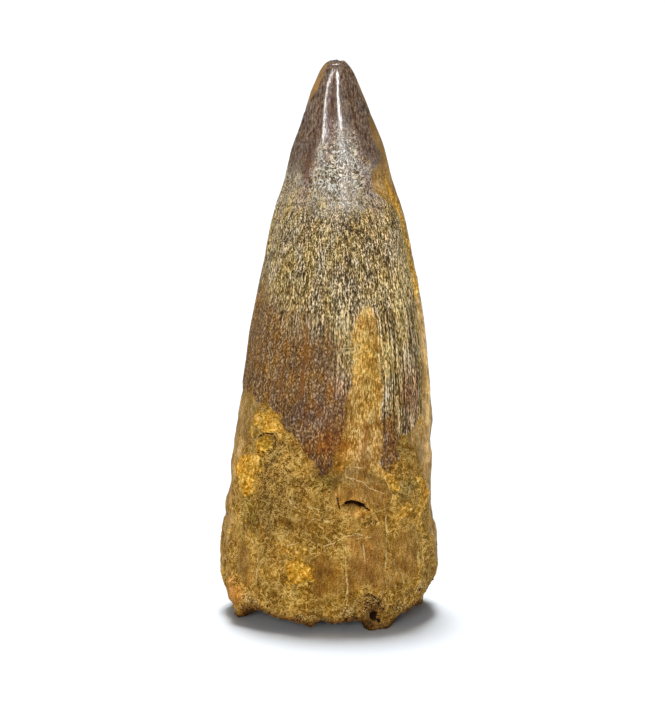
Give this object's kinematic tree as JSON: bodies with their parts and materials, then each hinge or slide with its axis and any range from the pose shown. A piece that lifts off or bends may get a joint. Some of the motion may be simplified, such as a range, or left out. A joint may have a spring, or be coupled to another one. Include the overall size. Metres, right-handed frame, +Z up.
{
  "type": "fossil elosuchus tooth",
  "caption": "Fossil crocodile tooth: a tall, finely ridged cone that leans back to a polished tip, on an ochre root with a rough, broken end that it stands on.",
  "frame": {"origin": "on the ground, under the middle of the tooth's box", "axes": "+Z up to the tip, -Y towards the bulging face of the crown that the picture shows, +X to the right of that face"},
  "size_m": [0.0234, 0.02, 0.0598],
  "materials": {
    "fossil_tooth": "dark brown glossy tip, ridged grey-brown enamel with yellow sand in its grooves, and a matt ochre root with sandy crusts"
  },
  "bodies": {
    "root": {"tooth": "fossil_tooth"}
  },
  "joints": []
}
